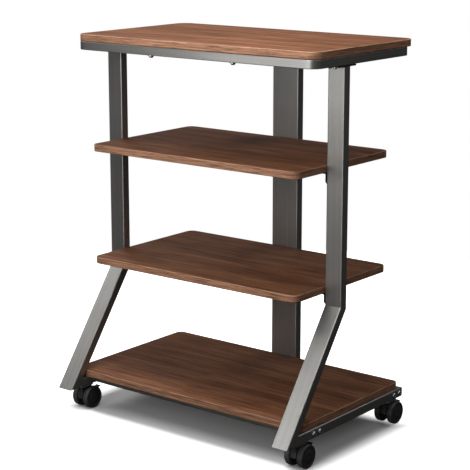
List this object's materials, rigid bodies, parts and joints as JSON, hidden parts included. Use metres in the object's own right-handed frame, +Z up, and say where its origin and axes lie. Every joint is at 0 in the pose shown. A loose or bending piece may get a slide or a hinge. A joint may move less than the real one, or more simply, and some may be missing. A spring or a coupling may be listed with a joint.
{
  "type": "rolling audio equipment rack",
  "caption": "Rolling rack for hi-fi equipment: wood-faced top and shelves on bent-leg steel side frames and a rear column, standing on braked twin-wheel swivel casters.",
  "frame": {"origin": "on the floor under the middle of the whole rack", "axes": "+Z up, front with the slanting legs towards -Y, +X to the right for someone who stands in front of the rack and looks at it"},
  "size_m": [0.6374, 0.4414, 0.834],
  "materials": {
    "walnut": "satin walnut-look laminate with matching edge band",
    "steel": "satin dark grey powder coat",
    "black_steel": "black powder coat",
    "zinc": "bright zinc plate",
    "nylon": "fine-grained black moulded nylon",
    "tread": "black moulded wheel with a slightly greyer running band"
  },
  "bodies": {
    "rack": {"bottom_board": "walnut", "bracket_lower_left": "black_steel", "bracket_lower_rear": "black_steel", "bracket_lower_right": "black_steel", "bracket_upper_left": "black_steel", "bracket_upper_rear": "black_steel", "bracket_upper_right": "black_steel", "caster_fl_plate": "zinc", "caster_fr_plate": "zinc", "caster_rl_plate": "zinc", "caster_rr_plate": "zinc", "column": "steel", "column_foot": "black_steel", "column_head": "black_steel", "cross_rail_front": "steel", "cross_rail_rear": "steel", "leg_left": "steel", "leg_right": "steel", "rail_bolt_left_1": "zinc", "rail_bolt_left_2": "zinc", "rail_bolt_left_3": "zinc", "rail_bolt_left_4": "zinc", "rail_bolt_right_1": "zinc", "rail_bolt_right_2": "zinc", "rail_bolt_right_3": "zinc", "rail_bolt_right_4": "zinc", "rail_left": "steel", "rail_plug_left": "nylon", "rail_plug_right": "nylon", "rail_right": "steel", "shelf_lower": "walnut", "shelf_upper": "walnut", "top_board": "walnut", "top_ring": "steel", "upright_left": "steel", "upright_plate_left": "black_steel", "upright_plate_right": "black_steel", "upright_right": "steel"},
    "caster_fl_fork": {"caster_fl_hood": "nylon", "caster_fl_axle": "zinc"},
    "caster_fl_left_wheel": {"caster_fl_wheel_left": "tread"},
    "caster_fl_right_wheel": {"caster_fl_wheel_right": "tread"},
    "caster_fl_brake": {"caster_fl_lever": "nylon"},
    "caster_fr_fork": {"caster_fr_hood": "nylon", "caster_fr_axle": "zinc"},
    "caster_fr_left_wheel": {"caster_fr_wheel_left": "tread"},
    "caster_fr_right_wheel": {"caster_fr_wheel_right": "tread"},
    "caster_fr_brake": {"caster_fr_lever": "nylon"},
    "caster_rl_fork": {"caster_rl_hood": "nylon", "caster_rl_axle": "zinc"},
    "caster_rl_left_wheel": {"caster_rl_wheel_left": "tread"},
    "caster_rl_right_wheel": {"caster_rl_wheel_right": "tread"},
    "caster_rl_brake": {"caster_rl_lever": "nylon"},
    "caster_rr_fork": {"caster_rr_hood": "nylon", "caster_rr_axle": "zinc"},
    "caster_rr_left_wheel": {"caster_rr_wheel_left": "tread"},
    "caster_rr_right_wheel": {"caster_rr_wheel_right": "tread"},
    "caster_rr_brake": {"caster_rr_lever": "nylon"}
  },
  "joints": [
    {"name": "caster_fl_swivel", "type": "hinge", "parent": "rack", "child": "caster_fl_fork", "pos_m": [-0.295, -0.16575, 0.0522], "axis": [0, 0, 1], "continuous": true},
    {"name": "caster_fl_left_spin", "type": "hinge", "parent": "caster_fl_fork", "child": "caster_fl_left_wheel", "pos_m": [-0.31, -0.14975, 0.025], "axis": [1, 0, 0], "continuous": true},
    {"name": "caster_fl_right_spin", "type": "hinge", "parent": "caster_fl_fork", "child": "caster_fl_right_wheel", "pos_m": [-0.28, -0.14975, 0.025], "axis": [1, 0, 0], "continuous": true},
    {"name": "caster_fl_brake_press", "type": "hinge", "parent": "caster_fl_fork", "child": "caster_fl_brake", "pos_m": [-0.295, -0.13675, 0.0395], "axis": [-1, 0, 0], "range_deg": [0, 18]},
    {"name": "caster_fr_swivel", "type": "hinge", "parent": "rack", "child": "caster_fr_fork", "pos_m": [0.295, -0.16575, 0.0522], "axis": [0, 0, 1], "continuous": true},
    {"name": "caster_fr_left_spin", "type": "hinge", "parent": "caster_fr_fork", "child": "caster_fr_left_wheel", "pos_m": [0.28, -0.14975, 0.025], "axis": [1, 0, 0], "continuous": true},
    {"name": "caster_fr_right_spin", "type": "hinge", "parent": "caster_fr_fork", "child": "caster_fr_right_wheel", "pos_m": [0.31, -0.14975, 0.025], "axis": [1, 0, 0], "continuous": true},
    {"name": "caster_fr_brake_press", "type": "hinge", "parent": "caster_fr_fork", "child": "caster_fr_brake", "pos_m": [0.295, -0.13675, 0.0395], "axis": [-1, 0, 0], "range_deg": [0, 18]},
    {"name": "caster_rl_swivel", "type": "hinge", "parent": "rack", "child": "caster_rl_fork", "pos_m": [-0.295, 0.16625, 0.0522], "axis": [0, 0, 1], "continuous": true},
    {"name": "caster_rl_left_spin", "type": "hinge", "parent": "caster_rl_fork", "child": "caster_rl_left_wheel", "pos_m": [-0.31, 0.18225, 0.025], "axis": [1, 0, 0], "continuous": true},
    {"name": "caster_rl_right_spin", "type": "hinge", "parent": "caster_rl_fork", "child": "caster_rl_right_wheel", "pos_m": [-0.28, 0.18225, 0.025], "axis": [1, 0, 0], "continuous": true},
    {"name": "caster_rl_brake_press", "type": "hinge", "parent": "caster_rl_fork", "child": "caster_rl_brake", "pos_m": [-0.295, 0.19525, 0.0395], "axis": [-1, 0, 0], "range_deg": [0, 18]},
    {"name": "caster_rr_swivel", "type": "hinge", "parent": "rack", "child": "caster_rr_fork", "pos_m": [0.295, 0.16625, 0.0522], "axis": [0, 0, 1], "continuous": true},
    {"name": "caster_rr_left_spin", "type": "hinge", "parent": "caster_rr_fork", "child": "caster_rr_left_wheel", "pos_m": [0.28, 0.18225, 0.025], "axis": [1, 0, 0], "continuous": true},
    {"name": "caster_rr_right_spin", "type": "hinge", "parent": "caster_rr_fork", "child": "caster_rr_right_wheel", "pos_m": [0.31, 0.18225, 0.025], "axis": [1, 0, 0], "continuous": true},
    {"name": "caster_rr_brake_press", "type": "hinge", "parent": "caster_rr_fork", "child": "caster_rr_brake", "pos_m": [0.295, 0.19525, 0.0395], "axis": [-1, 0, 0], "range_deg": [0, 18]}
  ]
}
